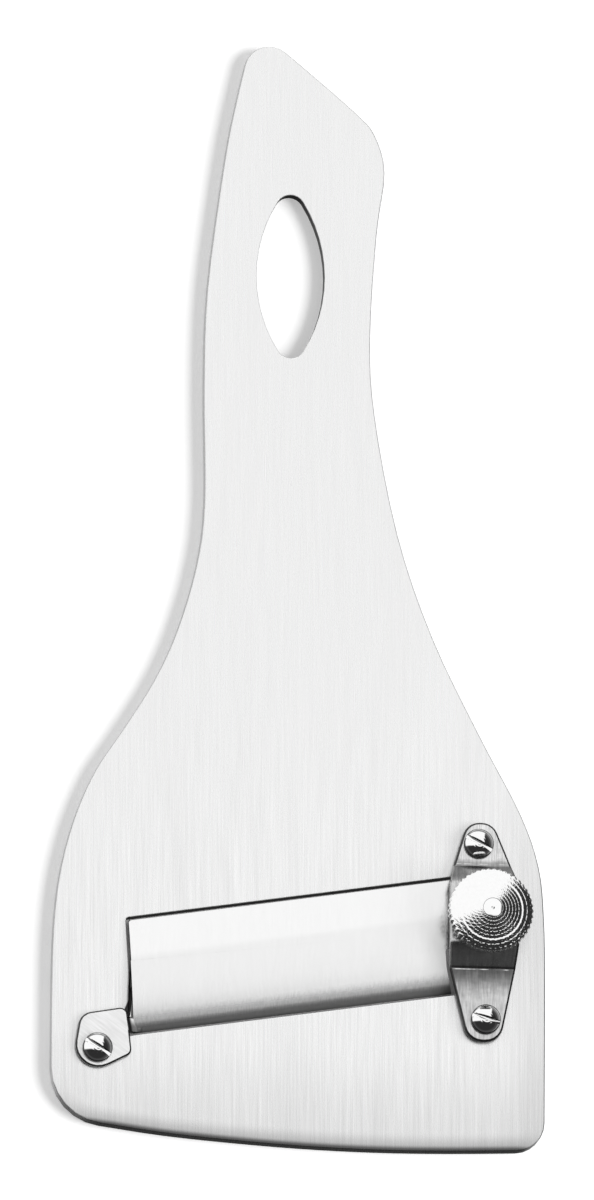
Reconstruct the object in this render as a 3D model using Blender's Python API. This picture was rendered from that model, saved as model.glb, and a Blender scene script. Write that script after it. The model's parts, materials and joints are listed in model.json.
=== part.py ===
"""Truffle slicer: a steel plate with a handle, a curved blade and an adjusting knob on a bent bridge.

The plate lies flat with its back on Z = 0. +Y runs towards the handle and +Z towards the knob.
The origin is the middle of the plate's back.
"""

import math

import bmesh
import bpy
from mathutils import Vector

MM = 0.001

# Plate
PLATE_LENGTH = 200.0 * MM
PLATE_WIDTH = 87.9 * MM
PLATE_THICKNESS = 2.5 * MM
PLATE_EDGE = 0.35 * MM
PLATE_EDGE_STEPS = 2
PLATE_EDGE_ANGLE = math.radians(50)
TIP_RADIUS = 4.5 * MM
RIGHT_CORNER_RADIUS = 5.2 * MM
LEFT_CORNER_RADIUS = 10.0 * MM
EYE_WIDTH = 12.2 * MM
EYE_HEIGHT = 29.8 * MM
EYE_TIP_RADIUS = 2.6 * MM
EYE_X_SHARE = -0.016
EYE_Y_SHARE = 0.29

# Slot that the blade lies in
SLOT_ANGLE = math.radians(8.8)
SLOT_SKEW = math.radians(5.4)
SLOT_HEIGHT = 21.2 * MM
SLOT_CORNER = 0.6 * MM
LEFT_RAIL = 14.45 * MM
BOTTOM_LAND = 19.5 * MM

# Blade
BLADE_THICKNESS = 0.8 * MM
CUT_GAP = 0.7 * MM
LIP_GAP = 0.5 * MM
SIDE_GAP = 0.35 * MM
EDGE_RISE = 0.7 * MM
EDGE_GRIND = 1.7 * MM
CROWN_RADIUS = 60.0 * MM
CREST_FROM_EDGE = 6.0 * MM
LIP_RADIUS = 3.4 * MM
LIP_RUN = 1.8 * MM
TONGUE_WIDTH = 9.2 * MM
TONGUE_RADIUS = 2.6 * MM
TONGUE_SHOULDER = 1.6 * MM
NOTCH_CLEARANCE = 0.4 * MM

# Ear at the blade's fixed end, and the neck that flexes
EAR_WIDTH = 11.3 * MM
EAR_HEIGHT = 14.2 * MM
EAR_CORNER = 1.3 * MM
EAR_ROUND = 4.0 * MM
NECK_WIDTH = 2.4 * MM
NECK_FROM_LIP = 0.1 * MM
NECK_RUN = 1.9 * MM
NECK_ROOT = 0.9 * MM
NECK_RELIEF = 1.1 * MM

# Bridge over the blade's free end
BRIDGE_THICKNESS = 1.2 * MM
BRIDGE_WIDTH = 12.35 * MM
BRIDGE_FLAT = 10.75 * MM
BRIDGE_SLOPE_RUN = 3.85 * MM
BRIDGE_RISE = 2.9 * MM
BRIDGE_BEND = 0.8 * MM
BRIDGE_WAIST = 4.0 * MM
BRIDGE_TO_EDGE = 5.15 * MM
SLOT_COVER = 1.7 * MM
FOLD_MARGIN = 0.3 * MM
TAB_END = 3.95 * MM
TAB_ROUND_SHARE = 0.9
UPPER_TAB_OFFSET = -0.4 * MM
LOWER_TAB_OFFSET = 0.2 * MM

# Knob and spindle
KNOB_RADIUS = 7.4 * MM
KNOB_HEIGHT = 4.05 * MM
KNOB_SIDE = 3.2 * MM
KNOB_LIFT = 1.0 * MM
KNOB_OFFSET = 0.75 * MM
KNURL_TEETH = 46
KNURL_DEPTH = 0.26 * MM
KNOB_CHAMFER = 0.35 * MM
KNOB_SHOULDER = 1.2 * MM
SPINDLE_END_RADIUS = 1.75 * MM
THREAD_RADIUS = 1.9 * MM
TIP_PIN_RADIUS = 1.2 * MM
TIP_PIN_REST = 0.35 * MM
GROOVE_DEPTH = 0.3 * MM
DIMPLE_RADIUS = 0.3 * MM

# Washer above the blade's free end and clip below it
WASHER_RADIUS = 3.4 * MM
WASHER_THICKNESS = 0.5 * MM
CLIP_RADIUS = 2.7 * MM
CLIP_THICKNESS = 0.5 * MM
CLIP_MOUTH = math.radians(70)

# Screws
SCREW_RADIUS = 1.45 * MM
SCREW_HEAD_RADIUS = 2.55 * MM
SCREW_HEAD_HEIGHT = 1.6 * MM
SCREW_HEAD_RIM = 0.45 * MM
SCREW_SLOT_WIDTH = 0.68 * MM
SCREW_SLOT_DEPTH = 0.75 * MM
SCREW_END_INSET = 0.2 * MM
UPPER_SCREW_FROM_FOLD = 3.9 * MM
UPPER_SCREW_OFFSET = -0.7 * MM
LOWER_SCREW_FROM_SLOT = 5.4 * MM
LOWER_SCREW_OFFSET = 0.5 * MM
UPPER_SCREW_TURN = math.radians(-28)
LOWER_SCREW_TURN = math.radians(-16)
EAR_SCREW_TURN = math.radians(-32)

# Clearances
SEAT_GAP = 0.25 * MM
HOLE_GAP = 0.15 * MM
RUNNING_GAP = 0.2 * MM
BORE_GAP = 0.1 * MM
OVERRUN = 1.0 * MM
MERGE = 0.001 * MM

# Facets
CURVE_STEPS = 4
FACET = math.radians(15)
ROUND_SEGMENTS = 40
DOME_STEPS = 6
CROWN_STEPS = 10
LIP_STEPS = 6
TOOTH_POINTS = 4
SMOOTH_ANGLE = math.radians(32)

# Plate outline: points on each side, as shares of half the width and half the length.
# Each list ends on the sharp corner where the next begins; the corners are rounded afterwards.
RIGHT_SIDE_SHARES = [
    (-0.179, 1.037), (0.027, 0.962), (0.233, 0.884), (0.311, 0.844), (0.352, 0.775), (0.320, 0.663),
    (0.293, 0.475), (0.311, 0.328), (0.404, 0.112), (0.544, -0.072), (0.730, -0.244),
    (0.900, -0.388), (0.975, -0.485), (0.996, -0.580), (1.0, -0.694), (0.998, -0.85), (0.996, -0.998),
]
BOTTOM_SHARES = [
    (0.996, -0.998), (0.615, -1.004), (0.31, -1.0055), (0.006, -1.002), (-0.299, -0.994),
    (-0.562, -0.984), (-0.806, -0.970), (-0.999, -0.960),
]
LEFT_SIDE_SHARES = [
    (-0.999, -0.960), (-1.0, -0.876), (-0.996, -0.682), (-0.983, -0.577), (-0.953, -0.493),
    (-0.898, -0.408), (-0.820, -0.330), (-0.711, -0.256), (-0.587, -0.167), (-0.493, -0.075), (-0.415, 0.043),
    (-0.381, 0.162), (-0.384, 0.371), (-0.370, 0.552), (-0.306, 0.770), (-0.261, 0.881), (-0.179, 1.037),
]

# Ear corners, from the slot's lower left corner, as shares of the ear's width and height
EAR_CORNER_SHARES = [(-0.1, 0.352), (-0.018, -0.24), (-1.018, -0.651), (-0.827, 0.25)]
EAR_SCREW_SHARES = (-0.561, -0.182)

# Bridge half widths at the folds and tab ends, as shares of half the bridge's width
UPPER_FOLD_SHARE = 0.83
UPPER_END_SHARE = 0.37
LOWER_FOLD_SHARE = 0.95
LOWER_END_SHARE = 0.47


def clear_scene():
    """Removes every object from the file."""
    for item in list(bpy.data.objects):
        bpy.data.objects.remove(item, do_unlink=True)


def steel(name, shade, roughness):
    """A stainless steel of one grey shade and roughness."""
    material = bpy.data.materials.new(name)
    material.use_nodes = True
    shader = material.node_tree.nodes["Principled BSDF"]
    shader.inputs["Base Color"].default_value = (shade, shade, shade, 1)
    shader.inputs["Metallic"].default_value = 1
    shader.inputs["Roughness"].default_value = roughness
    return material


def add_object(name, shape, material=None):
    """Turns a bmesh into an object in the scene, shaded smooth but for its sharp edges."""
    bmesh.ops.recalc_face_normals(shape, faces=shape.faces)
    mesh = bpy.data.meshes.new(name)
    shape.to_mesh(mesh)
    shape.free()
    mesh.shade_smooth()
    mesh.set_sharp_from_angle(angle=SMOOTH_ANGLE)
    item = bpy.data.objects.new(name, mesh)
    bpy.context.scene.collection.objects.link(item)
    if material:
        mesh.materials.append(material)
    return item


def use_as_cutter(item):
    """Keeps a shape out of the model itself."""
    item.hide_render = True
    item.display_type = "WIRE"


def combine(item, other, operation):
    """Cuts, joins or trims one object with another, which becomes a guide."""
    modifier = item.modifiers.new(other.name, "BOOLEAN")
    modifier.operation = operation
    modifier.solver = "EXACT"
    modifier.object = other
    use_as_cutter(other)


def move_origin(item, origin):
    """Puts an object's origin on a point without moving its surface."""
    for vertex in item.data.vertices:
        vertex.co -= origin
    item.location = origin


def arc(centre, radius, start, end, steps):
    """Points along an arc, both ends among them."""
    angles = [start + (end - start) * step / steps for step in range(steps + 1)]
    return [centre + radius * Vector((math.cos(angle), math.sin(angle))) for angle in angles]


def smooth_run(points):
    """A curve through the points: Catmull-Rom, with a few steps between each two."""
    ends = [2 * points[0] - points[1]] + points + [2 * points[-1] - points[-2]]
    run = [points[0]]
    for before, first, second, after in zip(ends, ends[1:], ends[2:], ends[3:]):
        for step in range(1, CURVE_STEPS + 1):
            t = step / CURVE_STEPS
            run.append((2 * first + (second - before) * t
                        + (2 * before - 5 * first + 4 * second - after) * t ** 2
                        + (3 * first - before - 3 * second + after) * t ** 3) / 2)
    return run


def trimmed(run, cut):
    """A run with a length cut off its end."""
    run = list(run)
    while len(run) > 2 and (run[-1] - run[-2]).length < cut:
        cut -= (run[-1] - run[-2]).length
        run.pop()
    run[-1] = run[-1] + (run[-2] - run[-1]).normalized() * cut
    return run


def corner_curve(start, corner, end, turn):
    """Points inside a rounded corner, near enough a circular arc."""
    pull = 4 / 3 * math.tan(turn / 4) / math.tan(turn / 2)
    first = start + (corner - start) * pull
    second = end + (corner - end) * pull
    steps = max(2, round(turn / FACET))
    curve = []
    for step in range(1, steps):
        t = step / steps
        curve.append(start * (1 - t) ** 3 + first * 3 * t * (1 - t) ** 2
                     + second * 3 * t ** 2 * (1 - t) + end * t ** 3)
    return curve


def closed_outline(runs, radii):
    """Joins runs that meet at sharp corners into one outline, each corner rounded to its radius."""
    runs = [list(run) for run in runs]
    corners = []
    for index, radius in enumerate(radii):
        following = (index + 1) % len(runs)
        before, after = runs[index], runs[following]
        corner = before[-1]
        turn = (before[-1] - before[-2]).angle(after[1] - after[0])
        reach = radius * math.tan(turn / 2)
        runs[index] = trimmed(before, reach)
        runs[following] = trimmed(after[::-1], reach)[::-1]
        corners.append(corner_curve(runs[index][-1], corner, runs[following][0], turn) if reach else [])
    points = [point for run, corner in zip(runs, corners) for point in run + corner]
    following = points[1:] + points[:1]
    return [point for point, after in zip(points, following) if (after - point).length > MERGE]


def rounded_polygon(corners):
    """An outline from corners given as (x, y, radius)."""
    points = [Vector((x, y)) for x, y, radius in corners]
    following = points[1:] + points[:1]
    runs = [[start, end] for start, end in zip(points, following)]
    radii = [radius for x, y, radius in corners]
    return closed_outline(runs, radii[1:] + radii[:1])


def solid_between(lower, upper):
    """A closed solid between two matching loops of points."""
    shape = bmesh.new()
    first = [shape.verts.new(point) for point in lower]
    second = [shape.verts.new(point) for point in upper]
    shape.faces.new(first[::-1])
    shape.faces.new(second)
    for index in range(len(first)):
        after = (index + 1) % len(first)
        shape.faces.new((first[index], first[after], second[after], second[index]))
    return shape


def upright_prism(outline, bottom, top):
    """A plan outline raised from one height to another."""
    return solid_between([(x, y, bottom) for x, y in outline], [(x, y, top) for x, y in outline])


def turned(profile, segments=ROUND_SEGMENTS):
    """A profile of (radius, height) points turned about the Z axis."""
    shape = bmesh.new()
    points = [shape.verts.new((radius, 0, height)) for radius, height in profile]
    edges = [shape.edges.new(pair) for pair in zip(points, points[1:])]
    if profile[0][0] > 0:
        edges.append(shape.edges.new((points[-1], points[0])))
    bmesh.ops.spin(shape, geom=points + edges, cent=(0, 0, 0), axis=(0, 0, 1), dvec=(0, 0, 0),
                   angle=math.tau, steps=segments, use_merge=True)
    bmesh.ops.remove_doubles(shape, verts=shape.verts, dist=MERGE)
    return shape


def round_cutter(name, centre, radius, bottom, top):
    """A plain cylinder for a drilled hole."""
    shape = turned([(0, bottom), (radius, bottom), (radius, top), (0, top)])
    item = add_object(name, shape)
    item.location = (centre.x, centre.y, 0)
    return item


# Places that several pieces share, worked out from the driving dimensions
ALONG = Vector((math.cos(SLOT_ANGLE), math.sin(SLOT_ANGLE)))
ACROSS = Vector((-math.sin(SLOT_ANGLE), math.cos(SLOT_ANGLE)))
SLOT_START = Vector((-PLATE_WIDTH / 2 + LEFT_RAIL, -PLATE_LENGTH / 2 + BOTTOM_LAND))
BRIDGE_X = PLATE_WIDTH / 2 - BRIDGE_TO_EDGE - BRIDGE_WIDTH / 2
SLOT_RIGHT = BRIDGE_X + BRIDGE_WIDTH / 2 - SLOT_COVER


def slot_point(along, across):
    """A plan point from its distances along and across the slot."""
    return SLOT_START + ALONG * along + ACROSS * across


def along_at(x, across):
    """How far along the slot a given X lies, at a distance across it."""
    return (x - SLOT_START.x + across * math.sin(SLOT_ANGLE)) / math.cos(SLOT_ANGLE)


UPPER_FOLD_Y = slot_point(along_at(SLOT_RIGHT, SLOT_HEIGHT), SLOT_HEIGHT).y + FOLD_MARGIN
BRIDGE_Y = UPPER_FOLD_Y - BRIDGE_SLOPE_RUN - BRIDGE_FLAT / 2
LOWER_FOLD_Y = BRIDGE_Y - BRIDGE_FLAT / 2 - BRIDGE_SLOPE_RUN
UPPER_SCREW = Vector((BRIDGE_X + UPPER_SCREW_OFFSET, UPPER_FOLD_Y + UPPER_SCREW_FROM_FOLD))
LOWER_SCREW_X = BRIDGE_X + LOWER_SCREW_OFFSET
LOWER_SCREW_Y = slot_point(along_at(LOWER_SCREW_X, 0), 0).y - LOWER_SCREW_FROM_SLOT
LOWER_SCREW = Vector((LOWER_SCREW_X, LOWER_SCREW_Y))
EAR_SCREW = SLOT_START + Vector((EAR_SCREW_SHARES[0] * EAR_WIDTH, EAR_SCREW_SHARES[1] * EAR_HEIGHT))
KNOB_AXIS = Vector((BRIDGE_X + KNOB_OFFSET, BRIDGE_Y))
KNOB_ACROSS = (KNOB_AXIS - SLOT_START).dot(ACROSS)

# Heights
PLATE_TOP = PLATE_THICKNESS
EAR_BOTTOM = PLATE_TOP + SEAT_GAP
EAR_TOP = EAR_BOTTOM + BLADE_THICKNESS
TAB_BOTTOM = PLATE_TOP + SEAT_GAP
TAB_TOP = TAB_BOTTOM + BRIDGE_THICKNESS
BRIDGE_TOP = TAB_TOP + BRIDGE_RISE
KNOB_BOTTOM = BRIDGE_TOP + KNOB_LIFT

# Blade section: its crown and lip
BLADE_WIDTH = SLOT_HEIGHT - CUT_GAP - LIP_GAP
CROWN_START = -math.asin(CREST_FROM_EDGE / CROWN_RADIUS)
CROWN_END = math.asin((BLADE_WIDTH - LIP_RUN - CREST_FROM_EDGE) / CROWN_RADIUS)
LIP_END = math.asin(math.sin(CROWN_END) + LIP_RUN / LIP_RADIUS)
CREST_TOP = PLATE_TOP + EDGE_RISE + CROWN_RADIUS * (1 - math.cos(CROWN_START))


def crown_point(angle, depth):
    """A point of the crown, as distance from the cutting edge and height, at a depth under its top."""
    centre = Vector((CREST_FROM_EDGE, CREST_TOP - CROWN_RADIUS))
    return centre + (CROWN_RADIUS - depth) * Vector((math.sin(angle), math.cos(angle)))


def lip_point(angle, depth):
    """A point of the lip that turns down into the slot, at a depth under its top."""
    start = crown_point(CROWN_END, 0)
    centre = start - LIP_RADIUS * Vector((math.sin(CROWN_END), math.cos(CROWN_END)))
    return centre + (LIP_RADIUS - depth) * Vector((math.sin(angle), math.cos(angle)))


def blade_section():
    """The blade's closed section: ground cutting edge, crown and lip."""
    grind_end = math.asin((EDGE_GRIND - CREST_FROM_EDGE) / CROWN_RADIUS)
    top = []
    under = []
    for step in range(CROWN_STEPS + 1):
        share = step / CROWN_STEPS
        top.append(crown_point(CROWN_START + (CROWN_END - CROWN_START) * share, 0))
        under.append(crown_point(grind_end + (CROWN_END - grind_end) * share, BLADE_THICKNESS))
    for step in range(1, LIP_STEPS + 1):
        angle = CROWN_END + (LIP_END - CROWN_END) * step / LIP_STEPS
        top.append(lip_point(angle, 0))
        under.append(lip_point(angle, BLADE_THICKNESS))
    return top + under[::-1]


def blade_top_at(across):
    """The height of the blade's upper face at a distance across the slot."""
    from_edge = SLOT_HEIGHT - CUT_GAP - across
    angle = math.asin((from_edge - CREST_FROM_EDGE) / CROWN_RADIUS)
    return crown_point(angle, 0).y


BLADE_TOP_AT_KNOB = blade_top_at(KNOB_ACROSS)
WASHER_BOTTOM = BLADE_TOP_AT_KNOB + RUNNING_GAP
WASHER_TOP = WASHER_BOTTOM + WASHER_THICKNESS
SPINDLE_SHOULDER = WASHER_TOP + RUNNING_GAP
CLIP_TOP = BLADE_TOP_AT_KNOB - BLADE_THICKNESS - RUNNING_GAP
CLIP_BOTTOM = CLIP_TOP - CLIP_THICKNESS
SPINDLE_END = CLIP_BOTTOM - BORE_GAP - TIP_PIN_REST


def plate_outline():
    """The plate's outline, fitted to its width and length."""
    sides = []
    for shares in (RIGHT_SIDE_SHARES, BOTTOM_SHARES, LEFT_SIDE_SHARES):
        points = [Vector((x * PLATE_WIDTH / 2, y * PLATE_LENGTH / 2)) for x, y in shares]
        sides.append(smooth_run(points))
    points = closed_outline(sides, [RIGHT_CORNER_RADIUS, LEFT_CORNER_RADIUS, TIP_RADIUS])
    left, right = min(p.x for p in points), max(p.x for p in points)
    bottom, top = min(p.y for p in points), max(p.y for p in points)
    return [((p.x - (left + right) / 2) * PLATE_WIDTH / (right - left),
             (p.y - (bottom + top) / 2) * PLATE_LENGTH / (top - bottom)) for p in reversed(points)]


def eye_outline():
    """The hang hole: two long arcs that run smoothly into small round tips."""
    half = EYE_WIDTH / 2
    rise = EYE_HEIGHT / 2 - EYE_TIP_RADIUS
    radius = (half ** 2 + rise ** 2 - EYE_TIP_RADIUS ** 2) / (2 * (half - EYE_TIP_RADIUS))
    lean = math.atan2(rise, radius - half)
    centre = Vector((EYE_X_SHARE * PLATE_WIDTH, EYE_Y_SHARE * PLATE_LENGTH))
    side = Vector((radius - half, 0))
    tip = Vector((0, rise))
    points = arc(centre - side, radius, -lean, lean, 3 * CURVE_STEPS)
    points += arc(centre + tip, EYE_TIP_RADIUS, lean, math.pi - lean, 2 * CURVE_STEPS)[1:-1]
    points += arc(centre + side, radius, math.pi - lean, math.pi + lean, 3 * CURVE_STEPS)
    points += arc(centre - tip, EYE_TIP_RADIUS, math.pi + lean, math.tau - lean, 2 * CURVE_STEPS)[1:-1]
    return points


def slot_outline():
    """The slot, with a relief in its left edge where the blade's neck steps down."""
    lean = math.tan(SLOT_SKEW)
    relief_top = LIP_GAP + NECK_FROM_LIP + NECK_WIDTH + SEAT_GAP
    relief_left = -NECK_RELIEF
    corners = [
        (relief_left, 0, SLOT_CORNER),
        (along_at(SLOT_RIGHT, 0), 0, SLOT_CORNER),
        (along_at(SLOT_RIGHT, SLOT_HEIGHT), SLOT_HEIGHT, SLOT_CORNER),
        (lean * SLOT_HEIGHT, SLOT_HEIGHT, SLOT_CORNER),
        (lean * relief_top, relief_top, SLOT_CORNER / 2),
        (relief_left, relief_top, SLOT_CORNER / 2),
    ]
    return [slot_point(along, across) for along, across in rounded_polygon(corners)]


def build_plate(material):
    """The flat plate with its handle, hang hole, blade slot and tapped holes."""
    plate = add_object("body_plate", upright_prism(plate_outline(), 0, PLATE_THICKNESS), material)
    low, high = -OVERRUN, PLATE_THICKNESS + OVERRUN
    combine(plate, add_object("eye_cut", upright_prism(eye_outline(), low, high)), "DIFFERENCE")
    combine(plate, add_object("slot_cut", upright_prism(slot_outline(), low, high)), "DIFFERENCE")
    for name, centre in (("upper", UPPER_SCREW), ("lower", LOWER_SCREW), ("ear", EAR_SCREW)):
        hole = round_cutter(name + "_hole_cut", centre, SCREW_RADIUS + HOLE_GAP, low, high)
        combine(plate, hole, "DIFFERENCE")
    edge = plate.modifiers.new("edges", "BEVEL")
    edge.width = PLATE_EDGE
    edge.segments = PLATE_EDGE_STEPS
    edge.limit_method = "ANGLE"
    edge.angle_limit = PLATE_EDGE_ANGLE
    return plate


def tab_edge_x(y):
    """X of the lower tab's left edge at a height below the fold."""
    fall = (LOWER_FOLD_Y - y) / (LOWER_FOLD_Y - LOWER_SCREW.y + TAB_END)
    share = LOWER_FOLD_SHARE + (LOWER_END_SHARE - LOWER_FOLD_SHARE) * fall
    return BRIDGE_X - BRIDGE_WIDTH / 2 * share


def blade_plan():
    """The blade seen from above, in distances along and across the slot."""
    lean = math.tan(SLOT_SKEW)
    cutting = SLOT_HEIGHT - CUT_GAP
    tongue_low = KNOB_ACROSS - TONGUE_WIDTH / 2
    tongue_high = KNOB_ACROSS + TONGUE_WIDTH / 2
    under_bridge = BRIDGE_X - BRIDGE_WIDTH / 2
    lip_y = slot_point(along_at(under_bridge, LIP_GAP), LIP_GAP).y
    notch_low = along_at(tab_edge_x(lip_y) - NOTCH_CLEARANCE, LIP_GAP)
    fold_x = tab_edge_x(LOWER_FOLD_Y) - NOTCH_CLEARANCE
    fold_across = (Vector((fold_x, LOWER_FOLD_Y)) - SLOT_START).dot(ACROSS)
    notch_high = along_at(fold_x, fold_across)
    shoulder = along_at(under_bridge, cutting)
    tongue_end = along_at(SLOT_RIGHT, KNOB_ACROSS) - SIDE_GAP - SLOT_CORNER
    corners = [
        (lean * LIP_GAP + SIDE_GAP, LIP_GAP, 0),
        (notch_low, LIP_GAP, 0),
        (notch_high, fold_across, SLOT_CORNER),
        (along_at(under_bridge - NOTCH_CLEARANCE, tongue_low), tongue_low, SLOT_CORNER),
        (tongue_end, tongue_low, TONGUE_RADIUS),
        (tongue_end, tongue_high, TONGUE_RADIUS),
        (shoulder + 2 * TONGUE_SHOULDER, tongue_high, SLOT_CORNER),
        (shoulder + TONGUE_SHOULDER / 2, cutting, SLOT_CORNER),
        (lean * cutting + SIDE_GAP, cutting, SLOT_CORNER),
    ]
    return [slot_point(along, across) for along, across in rounded_polygon(corners)]


def ear_outline():
    """The ear seen from above."""
    radii = [EAR_CORNER, EAR_CORNER, EAR_ROUND, 2 * EAR_CORNER]
    corners = []
    for (x, y), radius in zip(EAR_CORNER_SHARES, radii):
        corner = SLOT_START + Vector((x * EAR_WIDTH, y * EAR_HEIGHT))
        corners.append((corner.x, corner.y, radius))
    return rounded_polygon(corners[::-1])


def neck_shape():
    """The short neck that steps down from the ear to the blade."""
    low = LIP_GAP + NECK_FROM_LIP
    root_top = blade_top_at(low + NECK_WIDTH) - BLADE_THICKNESS / 2
    side = [
        (-NECK_RUN, EAR_BOTTOM), (-NECK_ROOT, EAR_BOTTOM), (NECK_RUN / 2, root_top - BLADE_THICKNESS),
        (NECK_RUN, root_top - BLADE_THICKNESS), (NECK_RUN, root_top), (NECK_RUN / 2, root_top),
        (-NECK_ROOT / 2, EAR_TOP), (-NECK_RUN, EAR_TOP),
    ]
    loops = []
    for across in (low + NECK_WIDTH, low):
        loops.append([(*slot_point(along, across), height) for along, height in side])
    return solid_between(*loops)


def build_blade(material):
    """The curved blade with its ear, neck and tongue, one pressed piece."""
    section = blade_section()
    length = along_at(SLOT_RIGHT, SLOT_HEIGHT) + OVERRUN
    cutting = SLOT_HEIGHT - CUT_GAP
    loops = []
    for along in (-OVERRUN, length):
        loops.append([(*slot_point(along, cutting - from_edge), height) for from_edge, height in section])
    blade = add_object("blade", solid_between(*loops), material)
    low, high = -OVERRUN, CREST_TOP + OVERRUN
    combine(blade, add_object("blade_plan_trim", upright_prism(blade_plan(), low, high)), "INTERSECT")
    combine(blade, add_object("ear_join", upright_prism(ear_outline(), EAR_BOTTOM, EAR_TOP)), "UNION")
    combine(blade, add_object("neck_join", neck_shape()), "UNION")
    screw_hole = SCREW_RADIUS + RUNNING_GAP
    combine(blade, round_cutter("ear_bore_cut", EAR_SCREW, screw_hole, low, high), "DIFFERENCE")
    pin_hole = TIP_PIN_RADIUS + RUNNING_GAP
    combine(blade, round_cutter("tongue_bore_cut", KNOB_AXIS, pin_hole, low, high), "DIFFERENCE")
    move_origin(blade, Vector((*EAR_SCREW, (EAR_BOTTOM + EAR_TOP) / 2)))
    return blade


def tab_end_radius(fold_share, end_share, run):
    """The corner radius at a tab's end: a share of the largest that its narrow end has room for."""
    half = BRIDGE_WIDTH / 2
    lean = math.atan2((fold_share - end_share) * half, run)
    return TAB_ROUND_SHARE * end_share * half / math.tan((math.pi / 2 - lean) / 2)


def bridge_plan():
    """The bridge seen from above: waisted, with a round tab at each end."""
    half = BRIDGE_WIDTH / 2
    upper_end = UPPER_SCREW.y + TAB_END
    lower_end = LOWER_SCREW.y - TAB_END
    flat_top = BRIDGE_Y + BRIDGE_FLAT / 2
    flat_bottom = BRIDGE_Y - BRIDGE_FLAT / 2
    lower_x, upper_x = BRIDGE_X + LOWER_TAB_OFFSET, BRIDGE_X + UPPER_TAB_OFFSET
    lower_radius = tab_end_radius(LOWER_FOLD_SHARE, LOWER_END_SHARE, LOWER_FOLD_Y - lower_end)
    upper_radius = tab_end_radius(UPPER_FOLD_SHARE, UPPER_END_SHARE, upper_end - UPPER_FOLD_Y)
    levels = [
        (lower_x, LOWER_END_SHARE, lower_end, lower_radius),
        (BRIDGE_X, LOWER_FOLD_SHARE, LOWER_FOLD_Y, BRIDGE_WAIST),
        (BRIDGE_X, 1, flat_bottom, BRIDGE_WAIST),
        (BRIDGE_X, 1, flat_top, BRIDGE_WAIST),
        (BRIDGE_X, UPPER_FOLD_SHARE, UPPER_FOLD_Y, BRIDGE_WAIST),
        (upper_x, UPPER_END_SHARE, upper_end, upper_radius),
    ]
    corners = [(middle + share * half, y, radius) for middle, share, y, radius in levels]
    corners += [(middle - share * half, y, radius) for middle, share, y, radius in reversed(levels)]
    return rounded_polygon(corners)


def bridge_side():
    """The bridge seen from its side: two flat tabs and a raised middle, as (y, z)."""
    slope = math.atan2(BRIDGE_RISE, BRIDGE_SLOPE_RUN)
    shift = BRIDGE_THICKNESS * math.tan(slope / 2)
    outer_bend = BRIDGE_BEND + BRIDGE_THICKNESS
    start = LOWER_SCREW.y - TAB_END - OVERRUN
    end = UPPER_SCREW.y + TAB_END + OVERRUN
    crest_low = LOWER_FOLD_Y + BRIDGE_SLOPE_RUN
    crest_high = UPPER_FOLD_Y - BRIDGE_SLOPE_RUN
    under = BRIDGE_TOP - BRIDGE_THICKNESS
    return rounded_polygon([
        (start, TAB_BOTTOM, 0),
        (LOWER_FOLD_Y + shift, TAB_BOTTOM, outer_bend),
        (crest_low + shift, under, BRIDGE_BEND),
        (crest_high - shift, under, BRIDGE_BEND),
        (UPPER_FOLD_Y - shift, TAB_BOTTOM, outer_bend),
        (end, TAB_BOTTOM, 0),
        (end, TAB_TOP, 0),
        (UPPER_FOLD_Y, TAB_TOP, BRIDGE_BEND),
        (crest_high, BRIDGE_TOP, outer_bend),
        (crest_low, BRIDGE_TOP, outer_bend),
        (LOWER_FOLD_Y, TAB_TOP, BRIDGE_BEND),
        (start, TAB_TOP, 0),
    ])


def build_bridge(material):
    """The bent strip that carries the knob."""
    side = bridge_side()
    left = BRIDGE_X - BRIDGE_WIDTH / 2 - OVERRUN
    right = BRIDGE_X + BRIDGE_WIDTH / 2 + OVERRUN
    shape = solid_between([(left, y, z) for y, z in side], [(right, y, z) for y, z in side])
    bridge = add_object("bridge", shape, material)
    low, high = TAB_BOTTOM - OVERRUN, BRIDGE_TOP + OVERRUN
    combine(bridge, add_object("bridge_plan_trim", upright_prism(bridge_plan(), low, high)), "INTERSECT")
    thread_hole = THREAD_RADIUS + RUNNING_GAP
    combine(bridge, round_cutter("thread_hole_cut", KNOB_AXIS, thread_hole, low, high), "DIFFERENCE")
    for name, centre in (("upper", UPPER_SCREW), ("lower", LOWER_SCREW)):
        hole = round_cutter(name + "_tab_hole_cut", centre, SCREW_RADIUS + RUNNING_GAP, low, high)
        combine(bridge, hole, "DIFFERENCE")
    return bridge


def knurled_ring(radius, height, depth):
    """A ring of points whose radius rises and falls with the teeth."""
    count = KNURL_TEETH * TOOTH_POINTS
    ring = []
    for index in range(count):
        angle = math.tau * index / count
        dip = depth * (1 - math.cos(KNURL_TEETH * angle)) / 2
        ring.append(Vector(((radius - dip) * math.cos(angle), (radius - dip) * math.sin(angle), height)))
    return ring


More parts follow.
